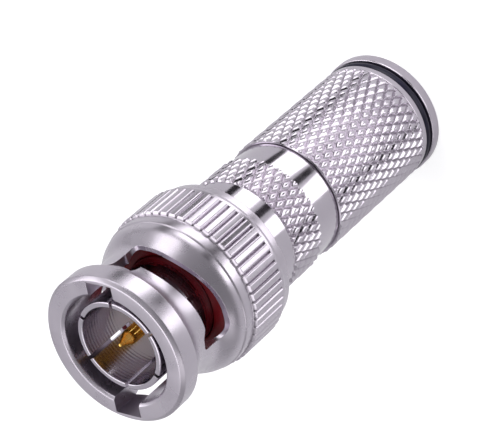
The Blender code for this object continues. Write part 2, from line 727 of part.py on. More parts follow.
def inner_post(material):
    """Barbed post that slides under the cable's braid."""
    tube_end = POST_REAR + POST_BARB_COUNT * POST_BARB_LENGTH
    outline = [(POST_BORE_RADIUS, POST_FRONT), (POST_BORE_RADIUS, POST_REAR)]
    for index in range(POST_BARB_COUNT):
        start = POST_REAR + index * POST_BARB_LENGTH
        outline.append((POST_TUBE_RADIUS, start))
        outline.append((POST_BARB_RADIUS, start + POST_BARB_LENGTH))
    outline += [
        (POST_TUBE_RADIUS, tube_end),
        (POST_TUBE_RADIUS, POST_FRONT - POST_FLANGE_LENGTH),
        (BODY_REAR_BORE_RADIUS - SEAT, POST_FRONT - POST_FLANGE_LENGTH),
        (BODY_REAR_BORE_RADIUS - SEAT, POST_FRONT),
    ]
    return turned("inner_post", outline, material, SMALL_SIDES)


def knurled_sleeve(material):
    """Long rear sleeve pushed up against the body's rear collar."""
    lip_radius = SLEEVE_RADIUS - SLEEVE_EDGE / 2
    section = [
        (SLEEVE_RADIUS - SLEEVE_EDGE, SLEEVE_FRONT),
        (SLEEVE_BORE_RADIUS, SLEEVE_FRONT),
        (SLEEVE_BORE_RADIUS, SLEEVE_REAR),
        (lip_radius - SLEEVE_EDGE, SLEEVE_REAR),
        (lip_radius, SLEEVE_REAR + SLEEVE_EDGE),
        (lip_radius, SLEEVE_REAR + SLEEVE_LIP_LENGTH),
    ]
    rear = SLEEVE_REAR + SLEEVE_LIP_LENGTH + SLEEVE_EDGE
    front = SLEEVE_FRONT - SLEEVE_EDGE
    return knurled("knurled_sleeve", section, rear, front, SLEEVE_RADIUS, material)


def compression_ferrule(material):
    """Plastic ring that the cap squeezes on to the cable's jacket."""
    outer = BODY_SPIGOT_RADIUS
    outline = [
        (FERRULE_BORE_RADIUS, FERRULE_REAR),
        (FERRULE_THROAT_RADIUS + 2 * SEAT, FERRULE_REAR),
        (outer, FERRULE_REAR + (outer - FERRULE_THROAT_RADIUS) / 2),
        (outer, FERRULE_FRONT),
        (FERRULE_BORE_RADIUS, FERRULE_FRONT),
    ]
    return turned("compression_ferrule", outline, material, SMALL_SIDES)


def compression_cap(material):
    """Rear cap whose tube slides in the sleeve and whose flange the tool pushes on."""
    edge = SLEEVE_EDGE
    outline = [
        (CAP_BORE_RADIUS, CAP_MOUTH_DEPTH),
        (CAP_MOUTH_RADIUS, 0.0),
        (CAP_FLANGE_RADIUS - edge, 0.0),
        (CAP_FLANGE_RADIUS, edge),
        (CAP_FLANGE_RADIUS, CAP_FLANGE_TOP - edge),
        (CAP_FLANGE_RADIUS - edge, CAP_FLANGE_TOP),
        (CAP_TUBE_RADIUS, CAP_FLANGE_TOP),
        (CAP_TUBE_RADIUS, CAP_TOP),
        (CAP_TUBE_RADIUS - CAP_TIP_WALL, CAP_TOP),
        (CAP_BORE_RADIUS, CAP_TOP - CAP_TAPER_LENGTH),
    ]
    return turned("compression_cap", outline, material)


def cap_ring(material):
    """Black ring between the cap's flange and the sleeve."""
    bore = CAP_TUBE_RADIUS + SEAT
    middle = CAP_FLANGE_TOP + RING_SEAT_LENGTH / 2
    return oval_ring("cap_o_ring", bore, CAP_RING_RADIAL, CAP_RING_AXIAL, middle, material)


def thrust_washer(material):
    """Flat washer between the retaining ring and the wave washer."""
    outline = ring_outline(
        WASHER_BORE_RADIUS,
        NUT_CHAMBER_RADIUS - RUNNING_FIT,
        THRUST_WASHER_REAR,
        THRUST_WASHER_FRONT,
    )
    return turned("thrust_washer", outline, material)


def build():
    """Make every piece in its place."""
    clear_scene()
    nickel = make_material("nickel_plate", (0.62, 0.59, 0.63), 0.18, 1.0)
    steel = make_material("spring_steel", (0.50, 0.50, 0.52), 0.35, 1.0)
    gold = make_material("gold_plate", (0.83, 0.55, 0.17), 0.20, 1.0)
    bronze = make_material("contact_bronze", (0.72, 0.50, 0.30), 0.30, 1.0)
    white = make_material("white_plastic", (0.85, 0.84, 0.80), 0.45, 0.0)
    red = make_material("red_silicone", (0.30, 0.01, 0.01), 0.50, 0.0)
    black = make_material("black_rubber", (0.02, 0.02, 0.025), 0.45, 0.0)

    outer_contact(nickel)
    center_pin(gold)
    pin_collet(bronze)
    insulator("front_insulator", PIN_RADIUS, FRONT_INSULATOR_REAR, white)
    insulator("rear_insulator", PIN_BARREL_RADIUS, CONTACT_REAR, white)
    face_gasket(red)
    knurled_body(nickel)
    body_ring(black)
    inner_post(nickel)
    knurled_sleeve(nickel)
    compression_ferrule(white)
    wave_washer(steel)
    thrust_washer(steel)
    coupling_nut(nickel)
    retaining_ring(steel)
    compression_cap(nickel)
    cap_ring(black)


build()
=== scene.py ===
"""Looks of the coaxial bayonet plug: fine turned skins, knurls, plated finishes, studio."""

import math

import bmesh
import bpy
import numpy as np
from mathutils import Matrix, Vector


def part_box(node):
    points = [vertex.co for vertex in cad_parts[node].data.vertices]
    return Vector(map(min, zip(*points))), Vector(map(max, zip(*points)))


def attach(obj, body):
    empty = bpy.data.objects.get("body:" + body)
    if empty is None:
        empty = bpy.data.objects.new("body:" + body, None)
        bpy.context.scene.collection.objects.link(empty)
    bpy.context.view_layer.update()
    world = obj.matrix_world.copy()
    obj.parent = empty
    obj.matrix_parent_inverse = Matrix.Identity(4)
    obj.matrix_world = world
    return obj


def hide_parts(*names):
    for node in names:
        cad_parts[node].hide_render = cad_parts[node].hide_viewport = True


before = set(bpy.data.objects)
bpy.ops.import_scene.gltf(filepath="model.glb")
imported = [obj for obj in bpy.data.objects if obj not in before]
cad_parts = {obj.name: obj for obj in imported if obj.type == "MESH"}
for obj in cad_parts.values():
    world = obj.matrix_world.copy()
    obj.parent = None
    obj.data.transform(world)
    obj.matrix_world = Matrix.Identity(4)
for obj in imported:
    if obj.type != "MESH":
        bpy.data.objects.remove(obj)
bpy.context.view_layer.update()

MM = 0.001

# Room between pieces that are pressed or stacked together.
SEAT = 0.05 * MM

# Rounding of edges, from the crispest to the roundest.
CRISP_EDGE = 0.03 * MM
FINE_EDGE = 0.04 * MM
EDGE = 0.05 * MM
SOFT_EDGE = 0.10 * MM
ROUND_EDGE = 0.16 * MM

# Distances too small to see: corners or heights a hair apart count as the same, and corners
# within a skin's depth of a radius lie on it.
HAIR = 1e-7
SKIN = 0.01 * MM

# Heights read from the frame, so the skins stay on the solids that they stand for.
NUT_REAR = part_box("coupling_nut")[0][2]
NUT_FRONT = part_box("coupling_nut")[1][2]
SLEEVE_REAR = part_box("knurled_sleeve")[0][2]
SLEEVE_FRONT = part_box("knurled_sleeve")[1][2]
BODY_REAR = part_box("knurled_body")[0][2]
BODY_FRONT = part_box("knurled_body")[1][2]
CONTACT_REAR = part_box("outer_contact")[0][2]
CONTACT_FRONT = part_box("outer_contact")[1][2]
PIN_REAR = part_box("center_pin")[0][2]
PIN_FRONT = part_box("center_pin")[1][2]
CAP_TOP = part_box("compression_cap")[1][2]
RING_GROOVE_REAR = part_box("retaining_ring")[0][2]
RING_GROOVE_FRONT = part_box("retaining_ring")[1][2]

# Coupling nut; each depth is measured back from its front face.
NUT_FACE_RADIUS = 6.39 * MM
NUT_BAND_RADIUS = 6.69 * MM
NUT_FACE_CHAMFER = 0.30 * MM
NUT_BORE_CHAMFER = 0.22 * MM
NUT_BAND_LENGTH = 1.92 * MM
NECK_END = 4.60 * MM
NECK_POWER = 2.5
NUT_WAIST_RADIUS = 5.80 * MM
FLARE_START = 5.40 * MM
RIM_START = 8.10 * MM
RIM_END = 9.10 * MM
NUT_RIM_RADIUS = 7.00 * MM
RIM_CROWN = 0.03 * MM
RIM_CROWN_FILLET = 0.30 * MM
RIM_CORNER = 0.10 * MM
RIM_CORNER_FILLET = 0.08 * MM
NUT_GROOVE_LENGTH = 0.18 * MM
NUT_GROOVE_DEPTH = 0.12 * MM
TEETH_START = 9.28 * MM
TEETH_END = 13.10 * MM
TAIL_LIP_HEIGHT = 0.20 * MM
TAIL_LIP_LENGTH = 0.28 * MM
TAIL_LIP_STEP = 0.01 * MM
TAIL_END = 13.75 * MM
TAIL_FILLET = 0.06 * MM
NUT_REAR_RADIUS = 6.80 * MM
NUT_REAR_FILLET = 0.08 * MM
NUT_BORE_RADIUS = 4.95 * MM
NUT_CHAMBER_RADIUS = 5.90 * MM
SHOULDER_DEPTH = 5.00 * MM
SHOULDER_TAPER = 1.70 * MM
RING_GROOVE_RADIUS = 6.27 * MM
NUT_WALL_MIDDLE = NUT_CHAMBER_RADIUS + 0.5 * MM
TOOTH_COUNT = 54
TOOTH_ROOT_RADIUS = 6.95 * MM
TOOTH_HEIGHT = 0.30 * MM
TOOTH_RUNOUT = 0.10 * MM
TOOTH_PHASE = math.radians(-2.2)
TOOTH_GROOVE_SHARE = 0.50

# Bayonet keyways and ramps; turns are measured from the keyway's centre.
BAYONET_COUNT = 2
KEYWAY_ANGLE = math.radians(-41)
KEYWAY_WIDTH = 2.5 * MM
KEYWAY_RADIUS = 6.1 * MM
TRACK_WIDTH = 2.30 * MM
TRACK_DEPTH = 4.98 * MM
TRACK_RISE = 0.72 * MM
TRACK_START = -KEYWAY_WIDTH / 2 / NUT_WAIST_RADIUS
TRACK_TURN = math.radians(104)
RAMP_START = math.radians(20)
RAMP_END = math.radians(85)
REST_NOTCH = 0.40 * MM
REST_TURN = math.radians(20)
TRACK_START_CORNER = 0.65 * MM
TRACK_END_CORNER = 1.3 * MM
REST_CORNER = 0.4 * MM
CUTTER_CLEARANCE = 0.5 * MM
CUTTER_REACH = 1.0 * MM

# Diamond knurl: two crossing families of grooves.
KNURL_COUNT = 40
KNURL_PITCH = 1.89 * MM
KNURL_DEPTH = 0.28 * MM
KNURL_SLOPE = 1.25
KNURL_MARGIN = 0.10 * MM

# Sleeve and body.
SLEEVE_RADIUS = 5.64 * MM
SLEEVE_BORE_RADIUS = 4.85 * MM
SLEEVE_LIP_LENGTH = 0.62 * MM
SLEEVE_LIP_DROP = 0.06 * MM
SLEEVE_RELIEF_DEPTH = 0.20 * MM
SLEEVE_RELIEF_LENGTH = 0.04 * MM
SLEEVE_SHOULDER_DROP = 0.05 * MM
SLEEVE_SHOULDER_LENGTH = 0.02 * MM
SLEEVE_FRONT_DROP = 0.12 * MM
SPIGOT_RADIUS = 4.80 * MM
REAR_COLLAR_LENGTH = 2.76 * MM
REAR_COLLAR_RADIUS = 5.37 * MM
GRIP_LENGTH = 3.93 * MM
GRIP_RADIUS = 5.60 * MM
FRONT_COLLAR_RADIUS = 5.40 * MM
BODY_FRONT_BORE_RADIUS = 4.45 * MM
BODY_MID_BORE_RADIUS = 2.9 * MM
BODY_REAR_BORE_RADIUS = 3.4 * MM
BODY_REAR_BORE_DEPTH = 5.5 * MM
BODY_RING_GROOVE_RADIUS = 4.04 * MM
BODY_RING_GROOVE = 0.95 * MM
BODY_RING_SETBACK = 1.2 * MM

# Contacts.
CONTACT_RADIUS = 4.05 * MM
CONTACT_BORE_RADIUS = 3.57 * MM
CONTACT_REAR_BORE_RADIUS = 3.73 * MM
CONTACT_SPIGOT_RADIUS = 4.40 * MM
CONTACT_TIP_FILLET = 0.13 * MM
CONTACT_MOUTH_FILLET = 0.09 * MM
FLANGE_RADIUS = 5.70 * MM
SLOT_COUNT = 6
SLOT_WIDTH = 0.32 * MM
SLOT_LENGTH = 5.0 * MM
SLOT_ANGLE = math.radians(17)
PIN_RADIUS = 0.67 * MM
PIN_TIP_RADIUS = 0.16 * MM
PIN_TIP_LENGTH = 1.25 * MM
PIN_CONE_FILLET = 0.25 * MM
PIN_COLLAR_RADIUS = 1.70 * MM
PIN_BARREL_RADIUS = 1.15 * MM
PIN_SOCKET_RADIUS = 0.75 * MM
PIN_SOCKET_DEPTH = 4.4 * MM

# Cap.
CAP_FLANGE_LENGTH = 0.97 * MM
CAP_FLANGE_RADIUS = 5.72 * MM
CAP_TUBE_RADIUS = 4.78 * MM
CAP_BORE_RADIUS = 3.65 * MM
CAP_MOUTH_RADIUS = 4.25 * MM
CAP_MOUTH_DEPTH = 0.7 * MM
CAP_TAPER_LENGTH = 1.8 * MM
CAP_TIP_WALL = 0.3 * MM

# Camera fitted to the photograph: its place in metres, its right and up directions, and its lens
# and sensor in millimetres. Nearer or farther than the last two, in metres, it sees nothing.
CAMERA_PLACE = Vector((0.0, -0.15701, 0.15949))
CAMERA_RIGHT = Vector((-0.66198, -0.49580, -0.56210)).normalized()
CAMERA_UP = Vector((0.74952, -0.44015, -0.49446)).normalized()
CAMERA_LENS = 181.8
CAMERA_SENSOR = 36.0
CAMERA_NEAR = 0.01
CAMERA_FAR = 10.0

# Studio: the world is brighter to one side of the plug than to the other, and the white paper
# looks brighter to the camera, and a little brighter to metal and glass, than it is lit.
WORLD_COLOUR = (0.97, 0.97, 1.0, 1)
WORLD_BRIGHT_SIDE = (0.5, 0.866, 0.0)
WORLD_DIM = 0.25
WORLD_BRIGHT = 0.66
PAPER_GLOW = 0.55
PAPER_SHINE = 0.12
FLOOR_REACH = 1.0
FLOOR_CELLS = 8

# Soft lamps as (name, direction, height, distance, aimed height, width, height of the face,
# brightness), where a brightness of 1 makes the lamp's face look white.
LAMPS = [
    ("overhead", math.radians(90), 0.20, 0.02, 0.018, 0.22, 0.18, 1.6),
    ("left", math.radians(190), 0.12, 0.17, 0.018, 0.10, 0.14, 0.7),
    ("right", math.radians(-30), 0.08, 0.17, 0.018, 0.10, 0.10, 1.6),
    ("side", math.radians(22), 0.16, 0.17, 0.018, 0.14, 0.12, 1.6),
    ("low_left", math.radians(-108), 0.0150, 0.0194, 0.023, 0.0084, 0.0314, 1.6),
    ("low_right", math.radians(-51), 0.0150, 0.0194, 0.023, 0.0107, 0.0314, 1.6),
]

# Narrow dark cards beside the low lamps, seen only as dark streaks in the metal, as (name,
# direction, width).
CARDS = [
    ("card_middle", math.radians(-81), 0.0034),
    ("card_right", math.radians(-26), 0.0036),
]
CARD_THICKNESS = 0.0002
CARD_DISTANCE = 0.017
CARD_HEIGHT = 0.032

# Colours as (red, green, blue). Each finish wanders between the two of its pair, and the plate
# goes over to a painted shade in the grooves, standing in for the shade that falls there.
NICKEL = ((0.55, 0.505, 0.57), (0.60, 0.555, 0.62))
NICKEL_PAINTED_SHADE = (0.32, 0.28, 0.33)
GOLD = ((1.0, 0.54, 0.09), (1.0, 0.68, 0.20))
STEEL = ((0.42, 0.42, 0.44), (0.54, 0.54, 0.56))
BRONZE = ((0.62, 0.38, 0.20), (0.74, 0.50, 0.30))
RED_SILICONE = ((0.16, 0.002, 0.005), (0.26, 0.005, 0.010))
BLACK_RUBBER = ((0.004, 0.003, 0.014), (0.008, 0.006, 0.024))
WHITE_PLASTIC = ((0.80, 0.79, 0.75), (0.88, 0.87, 0.84))
WHITE_PAPER = ((0.60, 0.60, 0.61), (0.64, 0.64, 0.65))
BLACK_CARD = ((0.010, 0.008, 0.012), (0.016, 0.013, 0.018))

# Roughness, as the lowest and the highest that a finish shows, and shine of the soft pieces.
BRIGHT_ROUGHNESS = (0.10, 0.17)
KNURL_ROUGHNESS = (0.09, 0.16)
LINED_ROUGHNESS = (0.12, 0.22)
TEETH_ROUGHNESS = (0.22, 0.32)
NUT_ROUGHNESS = (0.24, 0.34)
GOLD_ROUGHNESS = (0.14, 0.26)
STEEL_ROUGHNESS = (0.28, 0.42)
BRONZE_ROUGHNESS = (0.25, 0.38)
SILICONE_ROUGHNESS = (0.35, 0.5)
RUBBER_ROUGHNESS = (0.32, 0.45)
PLASTIC_ROUGHNESS = (0.38, 0.5)
CARD_ROUGHNESS = (0.8, 0.95)
PAPER_ROUGHNESS = 0.9
RUBBER_SHINE = 0.35
PLASTIC_SCATTER = 0.1
PLASTIC_SCATTER_DEPTH = 0.3 * MM

# Scales of the patterns in colour, in roughness and, where there is one, in grain. A larger
# scale makes a finer pattern, and that of the washers' steel is flattened along the axis.
NICKEL_PATTERNS = (180.0, 420.0, 900.0)
GOLD_PATTERNS = (400.0, 900.0)
STEEL_PATTERNS = (300.0, 600.0, 1500.0)
BRONZE_PATTERNS = (500.0, 700.0, 1500.0)
RUBBER_PATTERNS = (500.0, 900.0, 3000.0)
PLASTIC_PATTERNS = (200.0, 700.0, 2000.0)
CARD_PATTERNS = (60.0, 90.0)
PAPER_PATTERN = 30.0
STEEL_STRETCH = (1, 1, 6)

# Relief of the finishes: strength and depth of the grain, and lines left by the lathe as
# (strength, width).
PIT_STRENGTH = 0.06
GRAIN_STRENGTH = 0.1
RUBBER_GRAIN_STRENGTH = 0.15
FINE_GRAIN = 0.01 * MM
COARSE_GRAIN = 0.02 * MM
CONTACT_LINES = (0.5, 0.16 * MM)
PIN_LINES = (0.15, 0.12 * MM)
LINE_WANDER = 0.6
EDGE_SAMPLES = 4

# Shade is painted into the plate's colour in the grooves, up to a share of the knurl's depth under
# its pads and of the teeth's height over their root.
PAD_SHADE = 0.45
TOOTH_SHADE = 0.45

# Noise stays mostly between these two, and a wave at scale 1 goes through so many radians a unit.
NOISE_LOW = 0.3
NOISE_HIGH = 0.7
WAVE_RATE = 20.0

# Fineness of the skins.
TURNED_COLUMNS = 180
PIN_COLUMNS = 96
COLUMNS_PER_TOOTH = 12
COLUMNS_PER_PAD = 14
TOOTH_ROWS = 40
SLEEVE_ROWS = 150
GRIP_ROWS = 44
FLARE_STEPS = 14
TRACK_STATIONS = 90
PIN_TIP_STEPS = 10
RING_STEPS = 24
FILLET_STEPS = 3
FILLET_SHARE = 0.45
SHARP_ANGLE = math.radians(38)


def eased(start, end, share):
    """Go from one value to another with a soft start and end."""
    return start + (end - start) * (1 - math.cos(math.pi * share)) / 2


def rounded(outline):
    """Round the corners of a closed (radius, height, fillet) outline; returns (radius, height)."""
    points = []
    count = len(outline)
    for index, (radius, height, fillet) in enumerate(outline):
        corner = Vector((radius, height))
        if fillet == 0:
            points.append(corner)
            continue
        before = Vector(outline[index - 1][:2]) - corner
        after = Vector(outline[(index + 1) % count][:2]) - corner
        start = corner + before.normalized() * min(fillet, before.length * FILLET_SHARE)
        end = corner + after.normalized() * min(fillet, after.length * FILLET_SHARE)
        for step in range(FILLET_STEPS + 1):
            share = step / FILLET_STEPS
            first = start.lerp(corner, share)
            second = corner.lerp(end, share)
            points.append(first.lerp(second, share))
    return points


def lathe(name, points, columns, swell=None):
    """Spin a closed section once round Z; swell(turns, heights, radius) moves points outward."""
    section = np.array([tuple(point) for point in points])
    turns = np.arange(columns) * math.tau / columns
    radius = np.repeat(section[:, :1], columns, axis=1)
    height = np.repeat(section[:, 1:], columns, axis=1)
    if swell:
        radius = radius + swell(turns[None, :], height, radius)
    places = np.stack([radius * np.cos(turns), radius * np.sin(turns), height], axis=-1)
    rings = len(section)
    ring, column = np.meshgrid(np.arange(rings), np.arange(columns), indexing="ij")
    after_ring = (ring + 1) % rings
    after_column = (column + 1) % columns
    faces = np.stack(
        [
            ring * columns + column,
            ring * columns + after_column,
            after_ring * columns + after_column,
            after_ring * columns + column,
        ],
        axis=-1,
    )
    mesh = bpy.data.meshes.new(name)
    mesh.from_pydata(places.reshape(-1, 3).tolist(), [], faces.reshape(-1, 4).tolist())
    return finish_mesh(name, mesh)


def finish_mesh(name, mesh):
    """Weld, turn faces outward, shade smooth and link a mesh as an object."""
    builder = bmesh.new()
    builder.from_mesh(mesh)
    bmesh.ops.remove_doubles(builder, verts=builder.verts, dist=HAIR)
    bmesh.ops.recalc_face_normals(builder, faces=builder.faces)
    builder.to_mesh(mesh)
    builder.free()
    mesh.shade_smooth()
    mesh.set_sharp_from_angle(angle=SHARP_ANGLE)
    thing = bpy.data.objects.new(name, mesh)
    bpy.context.scene.collection.objects.link(thing)
    return thing


def block(name, size, centre, angle):
    """A box set at an angle round the axis; its centre is (outward, across, height)."""
    builder = bmesh.new()
    bmesh.ops.create_cube(builder, size=1.0)
    turn = Matrix.Rotation(angle, 4, "Z") @ Matrix.Translation(Vector(centre))
    bmesh.ops.transform(builder, matrix=turn @ Matrix.Diagonal((*size, 1.0)), verts=builder.verts)
    mesh = bpy.data.meshes.new(name)
    builder.to_mesh(mesh)
    builder.free()
    return finish_mesh(name, mesh)


def carve(target, cutters):
    """Take shapes out of a piece for good, and delete them."""
    for cutter in cutters:
        modifier = target.modifiers.new(cutter.name, "BOOLEAN")
        modifier.operation = "DIFFERENCE"
        modifier.solver = "EXACT"
        modifier.object = cutter
    graph = bpy.context.evaluated_depsgraph_get()
    mesh = bpy.data.meshes.new_from_object(target.evaluated_get(graph))
    target.modifiers.clear()
    target.data = mesh
    for cutter in cutters:
        bpy.data.objects.remove(cutter, do_unlink=True)
    mesh.shade_smooth()
    mesh.set_sharp_from_angle(angle=SHARP_ANGLE)


def dense(first, last, steps):
    """Points along a straight stretch of a section, both ends included."""
    points = []
    for step in range(steps + 1):
        radius = first[0] + (last[0] - first[0]) * step / steps
        height = first[1] + (last[1] - first[1]) * step / steps
        points.append(Vector((radius, height)))
    return points


# Finishes


class Finish:
    """A procedural material built node by node."""

    def __init__(self, name, metallic=0.0):
        self.material = bpy.data.materials.new(name)
        self.material.use_nodes = True
        self.nodes = self.material.node_tree.nodes
        self.links = self.material.node_tree.links
        self.shader = self.nodes["Principled BSDF"]
        self.shader.inputs["Metallic"].default_value = metallic
        self.place = self.nodes.new("ShaderNodeTexCoord").outputs["Object"]

    def noise(self, scale, detail=4.0, stretch=(1, 1, 1)):
        """Cloudy pattern; a larger scale makes it finer."""
        mapping = self.nodes.new("ShaderNodeMapping")
        mapping.inputs["Scale"].default_value = stretch
        self.links.new(self.place, mapping.inputs["Vector"])
        noise = self.nodes.new("ShaderNodeTexNoise")
        noise.inputs["Scale"].default_value = scale
        noise.inputs["Detail"].default_value = detail
        self.links.new(mapping.outputs["Vector"], noise.inputs["Vector"])
        return noise.outputs["Fac"]

    def turning_lines(self, width):
        """Fine lines left by the lathe round the axis; lines and gaps have the same width."""
        wave = self.nodes.new("ShaderNodeTexWave")
        wave.wave_type = "BANDS"
        wave.bands_direction = "Z"
        wave.inputs["Scale"].default_value = 1.0 / width / WAVE_RATE * math.pi
        wave.inputs["Distortion"].default_value = LINE_WANDER
        self.links.new(self.place, wave.inputs["Vector"])
        return wave.outputs["Fac"]

    def spread(self, source, low, high, low_in=NOISE_LOW, high_in=NOISE_HIGH):
        """Carry a pattern's own range over to another one."""
        span = self.nodes.new("ShaderNodeMapRange")
        span.inputs["From Min"].default_value = low_in
        span.inputs["From Max"].default_value = high_in
        span.inputs["To Min"].default_value = low
        span.inputs["To Max"].default_value = high
        self.links.new(source, span.inputs["Value"])
        return span.outputs["Result"]

    def colour(self, source, first, second):
        """Wander between two colours as the pattern does."""
        ramp = self.nodes.new("ShaderNodeValToRGB")
        ramp.color_ramp.elements[0].position = NOISE_LOW
        ramp.color_ramp.elements[0].color = (*first, 1)
        ramp.color_ramp.elements[1].position = NOISE_HIGH
        ramp.color_ramp.elements[1].color = (*second, 1)
        self.links.new(source, ramp.inputs["Fac"])
        self.links.new(ramp.outputs["Color"], self.shader.inputs["Base Color"])

    def paint_groove_shade(self, deepest, clear, colour):
        """Paint shade into the colour towards the axis, from a clear radius down to the deepest one."""
        flat = self.nodes.new("ShaderNodeMapping")
        flat.inputs["Scale"].default_value = (1, 1, 0)
        self.links.new(self.place, flat.inputs["Vector"])
        reach = self.nodes.new("ShaderNodeVectorMath")
        reach.operation = "LENGTH"
        self.links.new(flat.outputs["Vector"], reach.inputs[0])
        depth = self.spread(reach.outputs["Value"], 1.0, 0.0, deepest, clear)
        blend = self.nodes.new("ShaderNodeMix")
        blend.data_type = "RGBA"
        self.links.new(depth, blend.inputs["Factor"])
        base = self.shader.inputs["Base Color"]
        self.links.new(base.links[0].from_socket, blend.inputs["A"])
        blend.inputs["B"].default_value = (*colour, 1)
        self.links.new(blend.outputs["Result"], base)

    def roughness(self, source, low, high):
        """Let the roughness follow a pattern."""
        self.links.new(self.spread(source, low, high), self.shader.inputs["Roughness"])

    def relief(self, layers, edge=0.0):
        """Stack bumps, given as (source, strength, distance), over softened edges."""
        normal = None
        if edge:
            bevel = self.nodes.new("ShaderNodeBevel")
            bevel.samples = EDGE_SAMPLES
            bevel.inputs["Radius"].default_value = edge
            normal = bevel.outputs["Normal"]
        for source, strength, distance in layers:
            bump = self.nodes.new("ShaderNodeBump")
            bump.inputs["Strength"].default_value = strength
            bump.inputs["Distance"].default_value = distance
            self.links.new(source, bump.inputs["Height"])
            if normal:
                self.links.new(normal, bump.inputs["Normal"])
            normal = bump.outputs["Normal"]
        self.links.new(normal, self.shader.inputs["Normal"])


def nickel_finish(name, roughness, lines=None, shade_band=None):
    """Bright nickel plate: lilac grey, faint cloudiness, fine pits, soft edges.

    Lines left by the lathe are given as (strength, width). Where a shade band is given as (deepest
    radius, clear radius), shade is painted into the plate's colour between them.
    """
    clouds, smears, pits = NICKEL_PATTERNS
    finish = Finish(name, metallic=1.0)
    finish.colour(finish.noise(clouds), *NICKEL)
    # Painted shade: the plate's colour darkens in the grooves, standing in for the shade there.
    if shade_band:
        finish.paint_groove_shade(*shade_band, NICKEL_PAINTED_SHADE)
    finish.roughness(finish.noise(smears), *roughness)
    layers = [(finish.noise(pits, detail=2.0), PIT_STRENGTH, COARSE_GRAIN)]
    if lines:
        strength, width = lines
        layers.append((finish.turning_lines(width), strength, FINE_GRAIN))
    finish.relief(layers, edge=EDGE)
    return finish.material


def gold_finish():
    """Gold plate on the centre pin."""
    clouds, smears = GOLD_PATTERNS
    finish = Finish("gold_plate_fine", metallic=1.0)
    finish.colour(finish.noise(clouds), *GOLD)
    finish.roughness(finish.noise(smears), *GOLD_ROUGHNESS)
    strength, width = PIN_LINES
    finish.relief([(finish.turning_lines(width), strength, FINE_GRAIN)])
    return finish.material


def steel_finish():
    """Spring steel of the washers."""
    clouds, smears, grain = STEEL_PATTERNS
    finish = Finish("spring_steel_fine", metallic=1.0)
    finish.colour(finish.noise(clouds), *STEEL)
    finish.roughness(finish.noise(smears, detail=3.0, stretch=STEEL_STRETCH), *STEEL_ROUGHNESS)
    finish.relief([(finish.noise(grain), GRAIN_STRENGTH, FINE_GRAIN)])
    return finish.material


def bronze_finish():
    """Plain bronze of the collet."""
    clouds, smears, grain = BRONZE_PATTERNS
    finish = Finish("contact_bronze_fine", metallic=1.0)
    finish.colour(finish.noise(clouds), *BRONZE)
    finish.roughness(finish.noise(smears), *BRONZE_ROUGHNESS)
    finish.relief([(finish.noise(grain), GRAIN_STRENGTH, FINE_GRAIN)])
    return finish.material


def rubber_finish(name, colours, roughness):
    """Moulded rubber with a fine grain."""
    clouds, smears, grain = RUBBER_PATTERNS
    finish = Finish(name)
    finish.colour(finish.noise(clouds), *colours)
    finish.roughness(finish.noise(smears), *roughness)
    finish.relief([(finish.noise(grain), RUBBER_GRAIN_STRENGTH, COARSE_GRAIN)])
    finish.shader.inputs["Specular IOR Level"].default_value = RUBBER_SHINE
    return finish.material


def plastic_finish():
    """Off-white moulded plastic."""
    clouds, smears, grain = PLASTIC_PATTERNS
    finish = Finish("white_plastic_fine")
    finish.colour(finish.noise(clouds), *WHITE_PLASTIC)
    finish.roughness(finish.noise(smears), *PLASTIC_ROUGHNESS)
    finish.relief([(finish.noise(grain), GRAIN_STRENGTH, FINE_GRAIN)])
    finish.shader.inputs["Subsurface Weight"].default_value = PLASTIC_SCATTER
    finish.shader.inputs["Subsurface Scale"].default_value = PLASTIC_SCATTER_DEPTH
    return finish.material


# Pieces


def corner_drop(corner, past):
    """How far a round corner has fallen, a given way past where it starts."""
    reach = min(max(past, 0.0), corner)
    return corner - math.sqrt(corner**2 - reach**2)


def track_edges(turn):
    """Depths of the track's front and rear edge, a given turn past the keyway's centre."""
    share = min(max((turn - RAMP_START) / (RAMP_END - RAMP_START), 0.0), 1.0)
    centre = TRACK_DEPTH + eased(0.0, TRACK_RISE, share)
    into_rest = min(max((turn - TRACK_TURN + REST_TURN) / (REST_TURN / 2), 0.0), 1.0)
    from_start = (turn - TRACK_START) * NUT_WAIST_RADIUS
    to_end = (TRACK_TURN - turn) * NUT_WAIST_RADIUS
    front = centre - TRACK_WIDTH / 2 - eased(0.0, REST_NOTCH, into_rest)
    front += corner_drop(REST_CORNER, REST_CORNER - to_end)
    rear = centre + TRACK_WIDTH / 2
    rear -= corner_drop(TRACK_START_CORNER, TRACK_START_CORNER - from_start)
    rear -= corner_drop(TRACK_END_CORNER, TRACK_END_CORNER - to_end)
    return front, rear


def track_cutter(name, keyway_angle):
    """Cutter for one ramp: a band bent round the waist, clear of both faces of the wall."""
    inner = NUT_BORE_RADIUS - CUTTER_CLEARANCE
    outer = TOOTH_ROOT_RADIUS + TOOTH_HEIGHT
    builder = bmesh.new()
    sections = []
    for station in range(TRACK_STATIONS + 1):
        turn = eased(TRACK_START, TRACK_TURN, station / TRACK_STATIONS)
        front, rear = track_edges(turn)
        direction = keyway_angle - turn
        corners = []
        for radius, depth in ((inner, front), (outer, front), (outer, rear), (inner, rear)):
            x = radius * math.cos(direction)
            y = radius * math.sin(direction)
            corners.append(builder.verts.new((x, y, NUT_FRONT - depth)))
        sections.append(corners)
    for now, then in zip(sections, sections[1:]):
        for side in range(4):
            after = (side + 1) % 4
            builder.faces.new((now[side], now[after], then[after], then[side]))
    builder.faces.new(sections[0])
    builder.faces.new(sections[-1])
    mesh = bpy.data.meshes.new(name)
    builder.to_mesh(mesh)
    builder.free()
    return finish_mesh(name, mesh)


